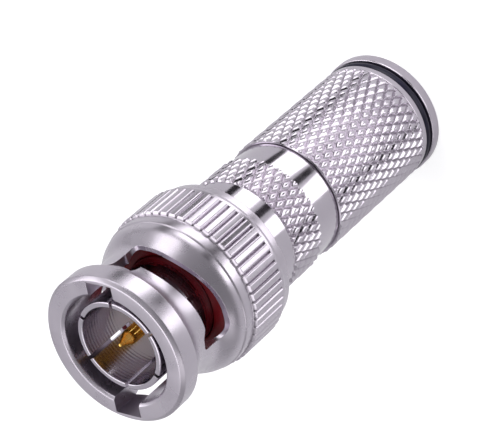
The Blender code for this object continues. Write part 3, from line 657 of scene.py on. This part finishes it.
def nut_section():
    """Closed section of the nut, from its rear outer edge forward and back down the bore."""
    length = NUT_FRONT - NUT_REAR
    lip_radius = TOOTH_ROOT_RADIUS + TAIL_LIP_HEIGHT
    rows = [(NUT_REAR_RADIUS, length, NUT_REAR_FILLET), (TOOTH_ROOT_RADIUS, TAIL_END, TAIL_FILLET)]
    rows.append((lip_radius, TEETH_END + TAIL_LIP_LENGTH, EDGE))
    rows.append((lip_radius, TEETH_END + TAIL_LIP_STEP, 0.0))
    for depth in np.linspace(TEETH_END, TEETH_START, TOOTH_ROWS):
        rows.append((TOOTH_ROOT_RADIUS, float(depth), 0.0))
    rows.append((NUT_RIM_RADIUS - NUT_GROOVE_DEPTH, RIM_END + NUT_GROOVE_LENGTH / 2, CRISP_EDGE))
    rows.append((NUT_RIM_RADIUS, RIM_END, EDGE))
    rows.append((NUT_RIM_RADIUS + RIM_CROWN, (RIM_START + RIM_END) / 2, RIM_CROWN_FILLET))
    rows.append((NUT_RIM_RADIUS, RIM_START + RIM_CORNER, RIM_CORNER_FILLET))
    flare_radius = NUT_RIM_RADIUS - RIM_CORNER
    for step in range(FLARE_STEPS + 1):
        share = step / FLARE_STEPS
        depth = RIM_START + (FLARE_START - RIM_START) * share
        rows.append((eased(flare_radius, NUT_WAIST_RADIUS, share), depth, 0.0))
    for step in range(FLARE_STEPS):
        share = step / FLARE_STEPS
        depth = NECK_END + (NUT_BAND_LENGTH - NECK_END) * share
        swell = (NUT_BAND_RADIUS - NUT_WAIST_RADIUS) * share**NECK_POWER
        rows.append((NUT_WAIST_RADIUS + swell, depth, 0.0))
    rows.append((NUT_BAND_RADIUS, NUT_BAND_LENGTH, EDGE))
    rows.append((NUT_BAND_RADIUS, NUT_FACE_CHAMFER, EDGE))
    rows.append((NUT_FACE_RADIUS, 0.0, EDGE))
    rows.append((NUT_BORE_RADIUS + NUT_BORE_CHAMFER, 0.0, CRISP_EDGE))
    rows.append((NUT_BORE_RADIUS, NUT_BORE_CHAMFER, EDGE))
    rows.append((NUT_BORE_RADIUS, SHOULDER_DEPTH, EDGE))
    rows.append((NUT_CHAMBER_RADIUS, SHOULDER_DEPTH + SHOULDER_TAPER, EDGE))
    groove_front = NUT_FRONT - RING_GROOVE_FRONT - SEAT
    groove_rear = NUT_FRONT - RING_GROOVE_REAR + SEAT
    rows.append((NUT_CHAMBER_RADIUS, groove_front, CRISP_EDGE))
    rows.append((RING_GROOVE_RADIUS, groove_front, CRISP_EDGE))
    rows.append((RING_GROOVE_RADIUS, groove_rear, CRISP_EDGE))
    rows.append((NUT_CHAMBER_RADIUS, groove_rear, CRISP_EDGE))
    rows.append((NUT_CHAMBER_RADIUS, length, SOFT_EDGE))
    return [(radius, NUT_FRONT - depth, fillet) for radius, depth, fillet in rows]


def tooth_swell(turns, heights, radius):
    """Straight teeth: flat ribs with round shoulders, V grooves, and sloping front ends."""
    top = NUT_FRONT - TEETH_START
    bottom = NUT_FRONT - TEETH_END
    within = (heights < top + HAIR) & (heights > bottom - HAIR)
    outer = np.abs(radius - TOOTH_ROOT_RADIUS) < SKIN
    part = ((turns - TOOTH_PHASE) / math.tau * TOOTH_COUNT) % 1.0
    from_groove = 1 - np.abs(part - 0.5) * 2
    rib = np.sin(np.clip(from_groove / TOOTH_GROOVE_SHARE, 0, 1) * math.pi / 2)
    ends = np.clip((top - heights) / TOOTH_RUNOUT, 0, 1)
    return np.where(within & outer, TOOTH_HEIGHT * np.minimum(rib, ends), 0.0)


def paint_stretch(piece, material, low, high, radius):
    """Give the faces outside a radius, between two heights, a finish of their own."""
    piece.data.materials.append(material)
    for face in piece.data.polygons:
        x, y, height = face.center
        if low < height < high and math.hypot(x, y) > radius:
            face.material_index = len(piece.data.materials) - 1


def coupling_nut(material, grooved):
    """Bayonet nut with fine teeth, two ramps and two keyways."""
    nut = lathe("bayonet_nut_skin", rounded(nut_section()), TOOTH_COUNT * COLUMNS_PER_TOOTH, tooth_swell)
    cutters = []
    for index in range(BAYONET_COUNT):
        angle = KEYWAY_ANGLE + math.tau * index / BAYONET_COUNT
        inner = NUT_BORE_RADIUS - CUTTER_CLEARANCE
        front = NUT_FRONT + CUTTER_REACH
        rear = NUT_FRONT - TRACK_DEPTH
        size = (KEYWAY_RADIUS - inner, KEYWAY_WIDTH, front - rear)
        centre = ((KEYWAY_RADIUS + inner) / 2, 0.0, (front + rear) / 2)
        cutters.append(block(f"keyway_{index}", size, centre, angle))
        cutters.append(track_cutter(f"track_{index}", angle))
    carve(nut, cutters)
    nut.data.materials.append(material)
    paint_stretch(nut, grooved, NUT_FRONT - TEETH_END, NUT_FRONT - TEETH_START, NUT_WALL_MIDDLE)
    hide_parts("coupling_nut")
    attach(nut, "nut")


def knurl_swell(low, high):
    """Diamond pads between two heights, on the outer skin only."""

    def swell(turns, heights, radius):
        across = KNURL_COUNT * turns / math.tau
        first = across + (heights - low) / KNURL_PITCH
        second = across - (heights - low) / KNURL_PITCH
        first_gap = np.abs(first - np.round(first)) * 2
        second_gap = np.abs(second - np.round(second)) * 2
        pad = np.clip(np.minimum(first_gap, second_gap) * KNURL_SLOPE, 0, 1)
        pad = np.sin(pad * math.pi / 2)
        within = (heights > low - HAIR) & (heights < high + HAIR)
        outer = radius > GRIP_RADIUS - SKIN
        return np.where(within & outer, -KNURL_DEPTH * (1 - pad), 0.0)

    return swell


def knurled_sleeve(material):
    """Long sleeve with a diamond knurl and a plain lip at the rear."""
    relief = SLEEVE_REAR + SLEEVE_LIP_LENGTH
    low = relief + KNURL_MARGIN
    high = SLEEVE_FRONT - KNURL_MARGIN
    lip = SLEEVE_RADIUS - SLEEVE_LIP_DROP
    section = rounded([
        (SLEEVE_BORE_RADIUS, SLEEVE_FRONT, FINE_EDGE),
        (SLEEVE_BORE_RADIUS, SLEEVE_REAR, FINE_EDGE),
        (lip, SLEEVE_REAR, SOFT_EDGE),
        (lip, relief, EDGE),
        (SLEEVE_RADIUS - SLEEVE_RELIEF_DEPTH, relief + SLEEVE_RELIEF_LENGTH, 0.0),
    ])
    section += dense((SLEEVE_RADIUS, low), (SLEEVE_RADIUS, high), SLEEVE_ROWS)
    shoulder = high + SLEEVE_SHOULDER_LENGTH
    section.append(Vector((SLEEVE_RADIUS - SLEEVE_SHOULDER_DROP, shoulder)))
    section.append(Vector((SLEEVE_RADIUS - SLEEVE_FRONT_DROP, SLEEVE_FRONT)))
    columns = KNURL_COUNT * COLUMNS_PER_PAD
    sleeve = lathe("sleeve_skin", section, columns, knurl_swell(low, high))
    sleeve.data.materials.append(material)
    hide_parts("knurled_sleeve")
    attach(sleeve, "plug")


def knurled_body(material, knurl):
    """Body with two plain collars and a short diamond knurl between them."""
    collar_rear = SLEEVE_FRONT + SEAT
    grip_rear = collar_rear + REAR_COLLAR_LENGTH
    grip_front = grip_rear + GRIP_LENGTH
    groove_front = collar_rear - BODY_RING_SETBACK
    groove_rear = groove_front - BODY_RING_GROOVE
    bore_end = BODY_REAR + BODY_REAR_BORE_DEPTH
    contact_seat = CONTACT_REAR - SEAT
    low = grip_rear + KNURL_MARGIN
    high = grip_front - KNURL_MARGIN
    section = rounded([
        (BODY_FRONT_BORE_RADIUS, BODY_FRONT, EDGE),
        (BODY_FRONT_BORE_RADIUS, contact_seat, EDGE),
        (BODY_MID_BORE_RADIUS, contact_seat, EDGE),
        (BODY_MID_BORE_RADIUS, bore_end, EDGE),
        (BODY_REAR_BORE_RADIUS, bore_end, EDGE),
        (BODY_REAR_BORE_RADIUS, BODY_REAR, EDGE),
        (SPIGOT_RADIUS, BODY_REAR, EDGE),
        (SPIGOT_RADIUS, groove_rear, EDGE),
        (BODY_RING_GROOVE_RADIUS, groove_rear, EDGE),
        (BODY_RING_GROOVE_RADIUS, groove_front, EDGE),
        (SPIGOT_RADIUS, groove_front, EDGE),
        (SPIGOT_RADIUS, collar_rear, 0.0),
        (REAR_COLLAR_RADIUS, collar_rear, FINE_EDGE),
        (REAR_COLLAR_RADIUS, grip_rear, CRISP_EDGE),
    ])
    section += dense((GRIP_RADIUS, low), (GRIP_RADIUS, high), GRIP_ROWS)
    section += rounded([
        (GRIP_RADIUS, high, 0.0),
        (FRONT_COLLAR_RADIUS, grip_front, CRISP_EDGE),
        (FRONT_COLLAR_RADIUS, BODY_FRONT, SOFT_EDGE),
        (BODY_FRONT_BORE_RADIUS, BODY_FRONT, 0.0),
    ])[1:-1]
    columns = KNURL_COUNT * COLUMNS_PER_PAD
    body = lathe("body_skin", section, columns, knurl_swell(low, high))
    body.data.materials.append(material)
    paint_stretch(body, knurl, low, high, REAR_COLLAR_RADIUS - KNURL_DEPTH)
    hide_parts("knurled_body")
    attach(body, "plug")


def outer_contact(material):
    """Slotted contact tube."""
    flange_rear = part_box("wave_washer")[1][2] + SEAT
    flange_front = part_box("face_gasket")[0][2] - SEAT
    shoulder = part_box("front_insulator")[1][2] + SEAT
    section = rounded([
        (CONTACT_REAR_BORE_RADIUS, CONTACT_REAR, EDGE),
        (CONTACT_SPIGOT_RADIUS, CONTACT_REAR, EDGE),
        (CONTACT_SPIGOT_RADIUS, flange_rear, EDGE),
        (FLANGE_RADIUS, flange_rear, EDGE),
        (FLANGE_RADIUS, flange_front, EDGE),
        (CONTACT_RADIUS, flange_front, EDGE),
        (CONTACT_RADIUS, CONTACT_FRONT, CONTACT_TIP_FILLET),
        (CONTACT_BORE_RADIUS, CONTACT_FRONT, CONTACT_MOUTH_FILLET),
        (CONTACT_BORE_RADIUS, shoulder, EDGE),
        (CONTACT_REAR_BORE_RADIUS, shoulder, EDGE),
    ])
    contact = lathe("contact_skin", section, TURNED_COLUMNS)
    slots = []
    for index in range(SLOT_COUNT // 2):
        size = (4 * CONTACT_RADIUS, SLOT_WIDTH, 2 * SLOT_LENGTH)
        angle = SLOT_ANGLE + math.tau * index / SLOT_COUNT
        slots.append(block(f"slot_{index}", size, (0.0, 0.0, CONTACT_FRONT), angle))
    carve(contact, slots)
    contact.data.materials.append(material)
    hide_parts("outer_contact")
    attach(contact, "plug")


def center_pin(material):
    """Gold pin with a slim cone, a small round tip, a collar and a socket."""
    collar_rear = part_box("rear_insulator")[1][2] + SEAT
    collar_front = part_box("front_insulator")[0][2] - SEAT
    section = rounded([
        (0.0, PIN_REAR + PIN_SOCKET_DEPTH, 0.0),
        (PIN_SOCKET_RADIUS, PIN_REAR + PIN_SOCKET_DEPTH, FINE_EDGE),
        (PIN_SOCKET_RADIUS, PIN_REAR, FINE_EDGE),
        (PIN_BARREL_RADIUS, PIN_REAR, FINE_EDGE),
        (PIN_BARREL_RADIUS, collar_rear, FINE_EDGE),
        (PIN_COLLAR_RADIUS, collar_rear, FINE_EDGE),
        (PIN_COLLAR_RADIUS, collar_front, FINE_EDGE),
        (PIN_RADIUS, collar_front, FINE_EDGE),
        (PIN_RADIUS, PIN_FRONT - PIN_TIP_LENGTH, PIN_CONE_FILLET),
        (PIN_TIP_RADIUS, PIN_FRONT - PIN_TIP_RADIUS, 0.0),
    ])
    for step in range(1, PIN_TIP_STEPS + 1):
        turn = math.pi / 2 * step / PIN_TIP_STEPS
        reach = PIN_TIP_RADIUS * math.cos(turn)
        height = PIN_FRONT - PIN_TIP_RADIUS * (1 - math.sin(turn))
        section.append(Vector((max(reach, 0.0), height)))
    pin = lathe("pin_skin", section, PIN_COLUMNS)
    pin.data.materials.append(material)
    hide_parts("center_pin")
    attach(pin, "plug")


def compression_cap(material):
    """Rear cap with a softly rounded flange."""
    section = rounded([
        (CAP_BORE_RADIUS, CAP_MOUTH_DEPTH, EDGE),
        (CAP_MOUTH_RADIUS, 0.0, SOFT_EDGE),
        (CAP_FLANGE_RADIUS, 0.0, ROUND_EDGE),
        (CAP_FLANGE_RADIUS, CAP_FLANGE_LENGTH, SOFT_EDGE),
        (CAP_TUBE_RADIUS, CAP_FLANGE_LENGTH, EDGE),
        (CAP_TUBE_RADIUS, CAP_TOP, EDGE),
        (CAP_TUBE_RADIUS - CAP_TIP_WALL, CAP_TOP, EDGE),
        (CAP_BORE_RADIUS, CAP_TOP - CAP_TAPER_LENGTH, EDGE),
    ])
    cap = lathe("cap_skin", section, TURNED_COLUMNS)
    cap.data.materials.append(material)
    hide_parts("compression_cap")
    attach(cap, "cap")


def node_bore(node):
    """Smallest radius of a node's own corners."""
    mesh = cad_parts[node].data
    return min(math.hypot(corner.co.x, corner.co.y) for corner in mesh.vertices)


def soft_ring(name, node, body, material):
    """A round-section ring inside a node's own box."""
    low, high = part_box(node)
    outer = high[1]
    tall = (high[2] - low[2]) / 2
    middle = (high[2] + low[2]) / 2
    inner = node_bore(node)
    wide = (outer - inner) / 2
    section = []
    for step in range(RING_STEPS):
        turn = math.tau * step / RING_STEPS
        section.append((inner + wide + wide * math.cos(turn), middle + tall * math.sin(turn)))
    ring = lathe(name, section, TURNED_COLUMNS)
    ring.data.materials.append(material)
    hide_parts(node)
    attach(ring, body)


def face_gasket(material):
    """Soft ring on the flange."""
    low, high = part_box("face_gasket")
    inner = node_bore("face_gasket")
    outer = high[1]
    section = rounded([
        (inner, low[2], EDGE),
        (outer, low[2], EDGE),
        (outer, high[2], ROUND_EDGE),
        (inner, high[2], ROUND_EDGE),
    ])
    ring = lathe("gasket_skin", section, TURNED_COLUMNS)
    ring.data.materials.append(material)
    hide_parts("face_gasket")
    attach(ring, "plug")


def dress(node, material):
    """Give a carried-over node its finish."""
    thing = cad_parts[node]
    for slot in thing.material_slots:
        slot.material = material


# Studio


def paper_finish():
    """White paper, which the camera, metal and glass see a little brighter than it is lit."""
    paper = Finish("paper")
    paper.colour(paper.noise(PAPER_PATTERN), *WHITE_PAPER)
    paper.shader.inputs["Roughness"].default_value = PAPER_ROUGHNESS
    paper.shader.inputs["Specular IOR Level"].default_value = 0.0
    path = paper.nodes.new("ShaderNodeLightPath")
    surface = paper.shader.outputs["BSDF"]
    for ray, strength in (
        ("Is Camera Ray", PAPER_GLOW),
        ("Is Glossy Ray", PAPER_SHINE),
        ("Is Transmission Ray", PAPER_SHINE),
    ):
        glow = paper.nodes.new("ShaderNodeEmission")
        glow.inputs["Strength"].default_value = strength
        lit = paper.nodes.new("ShaderNodeAddShader")
        paper.links.new(surface, lit.inputs[0])
        paper.links.new(glow.outputs["Emission"], lit.inputs[1])
        choice = paper.nodes.new("ShaderNodeMixShader")
        paper.links.new(path.outputs[ray], choice.inputs["Fac"])
        paper.links.new(surface, choice.inputs[1])
        paper.links.new(lit.outputs["Shader"], choice.inputs[2])
        surface = choice.outputs["Shader"]
    paper.links.new(surface, paper.nodes["Material Output"].inputs["Surface"])
    return paper.material


def add_floor():
    """Pale paper that the plug stands on."""
    builder = bmesh.new()
    cells = FLOOR_CELLS
    bmesh.ops.create_grid(builder, x_segments=cells, y_segments=cells, size=FLOOR_REACH)
    mesh = bpy.data.meshes.new("floor")
    builder.to_mesh(mesh)
    builder.free()
    floor = bpy.data.objects.new("floor", mesh)
    bpy.context.scene.collection.objects.link(floor)
    floor.data.materials.append(paper_finish())


def set_world():
    """World light, brighter to one side of the plug than to the other."""
    world = bpy.data.worlds.new("studio")
    bpy.context.scene.world = world
    world.use_nodes = True
    nodes = world.node_tree.nodes
    links = world.node_tree.links
    background = nodes["Background"]
    background.inputs["Color"].default_value = WORLD_COLOUR
    side = nodes.new("ShaderNodeVectorMath")
    side.operation = "DOT_PRODUCT"
    side.inputs[1].default_value = WORLD_BRIGHT_SIDE
    span = nodes.new("ShaderNodeMapRange")
    span.inputs["From Min"].default_value = -1.0
    span.inputs["To Min"].default_value = WORLD_DIM
    span.inputs["To Max"].default_value = WORLD_BRIGHT
    links.new(nodes.new("ShaderNodeTexCoord").outputs["Generated"], side.inputs[0])
    links.new(side.outputs["Value"], span.inputs["Value"])
    links.new(span.outputs["Result"], background.inputs["Strength"])


def card_finish():
    """Dull black card."""
    clouds, smears = CARD_PATTERNS
    card = Finish("card")
    card.colour(card.noise(clouds), *BLACK_CARD)
    card.roughness(card.noise(smears), *CARD_ROUGHNESS)
    return card.material


def add_card(name, turn, width, material):
    """An upright card that only reflections show."""
    size = (CARD_THICKNESS, width, CARD_HEIGHT)
    card = block(name, size, (CARD_DISTANCE, 0.0, CARD_HEIGHT / 2), turn)
    card.data.materials.append(material)
    card.visible_camera = False
    card.visible_diffuse = False
    card.visible_shadow = False


def add_lamp(name, place, aim, width, height, brightness):
    """A soft rectangular lamp; brightness is what its face shows, where 1 is white."""
    light = bpy.data.lights.new(name, "AREA")
    light.shape = "RECTANGLE"
    light.size = width
    light.size_y = height
    light.energy = brightness * math.pi * width * height
    lamp = bpy.data.objects.new(name, light)
    bpy.context.scene.collection.objects.link(lamp)
    lamp.visible_camera = False
    lamp.location = place
    lamp.rotation_euler = (Vector(aim) - place).to_track_quat("-Z", "Y").to_euler()


def studio():
    """Pale floor, uneven world, dark cards and soft lamps."""
    add_floor()
    set_world()
    dark = card_finish()
    for name, turn, width in CARDS:
        add_card(name, turn, width, dark)
    for name, turn, height, distance, aim, width, tall, brightness in LAMPS:
        place = Vector((distance * math.cos(turn), distance * math.sin(turn), height))
        add_lamp(name, place, (0, 0, aim), width, tall, brightness)


def set_camera():
    """Camera at the photograph's angle: the mating end points down and to the left."""
    data = bpy.data.cameras.new("camera")
    data.sensor_width = CAMERA_SENSOR
    data.lens = CAMERA_LENS
    data.clip_start = CAMERA_NEAR
    data.clip_end = CAMERA_FAR
    camera = bpy.data.objects.new("camera", data)
    bpy.context.scene.collection.objects.link(camera)
    back = CAMERA_RIGHT.cross(CAMERA_UP)
    turn = Matrix((CAMERA_RIGHT, CAMERA_UP, back)).transposed().to_4x4()
    camera.matrix_world = Matrix.Translation(CAMERA_PLACE) @ turn
    bpy.context.scene.camera = camera


def main():
    """Dress every piece, then light and frame it."""
    bright = nickel_finish("nickel_bright", BRIGHT_ROUGHNESS)
    # Painted shade in the knurl's grooves, between these two radii.
    pad_shade_band = (GRIP_RADIUS - KNURL_DEPTH, GRIP_RADIUS - KNURL_DEPTH * PAD_SHADE)
    knurl = nickel_finish("nickel_knurl", KNURL_ROUGHNESS, shade_band=pad_shade_band)
    lined = nickel_finish("nickel_lined", LINED_ROUGHNESS, lines=CONTACT_LINES)
    gold = gold_finish()
    steel = steel_finish()
    red = rubber_finish("red_silicone_fine", RED_SILICONE, SILICONE_ROUGHNESS)
    black = rubber_finish("black_rubber_fine", BLACK_RUBBER, RUBBER_ROUGHNESS)
    plastic = plastic_finish()

    # Painted shade in the teeth's grooves, between these two radii.
    tooth_shade_band = (TOOTH_ROOT_RADIUS, TOOTH_ROOT_RADIUS + TOOTH_HEIGHT * TOOTH_SHADE)
    grooved = nickel_finish("nickel_teeth", TEETH_ROUGHNESS, shade_band=tooth_shade_band)
    coupling_nut(nickel_finish("nickel_nut", NUT_ROUGHNESS), grooved)
    knurled_sleeve(knurl)
    knurled_body(bright, knurl)
    outer_contact(lined)
    compression_cap(bright)
    face_gasket(red)
    soft_ring("cap_ring_skin", "cap_o_ring", "cap", black)
    soft_ring("body_ring_skin", "body_o_ring", "plug", black)
    center_pin(gold)
    dress("pin_collet", bronze_finish())
    for node in ("front_insulator", "rear_insulator", "compression_ferrule"):
        dress(node, plastic)
    for node in ("wave_washer", "thrust_washer", "retaining_ring"):
        dress(node, steel)
    dress("inner_post", bright)

    studio()
    set_camera()
    bpy.context.scene.view_settings.view_transform = "Standard"


main()
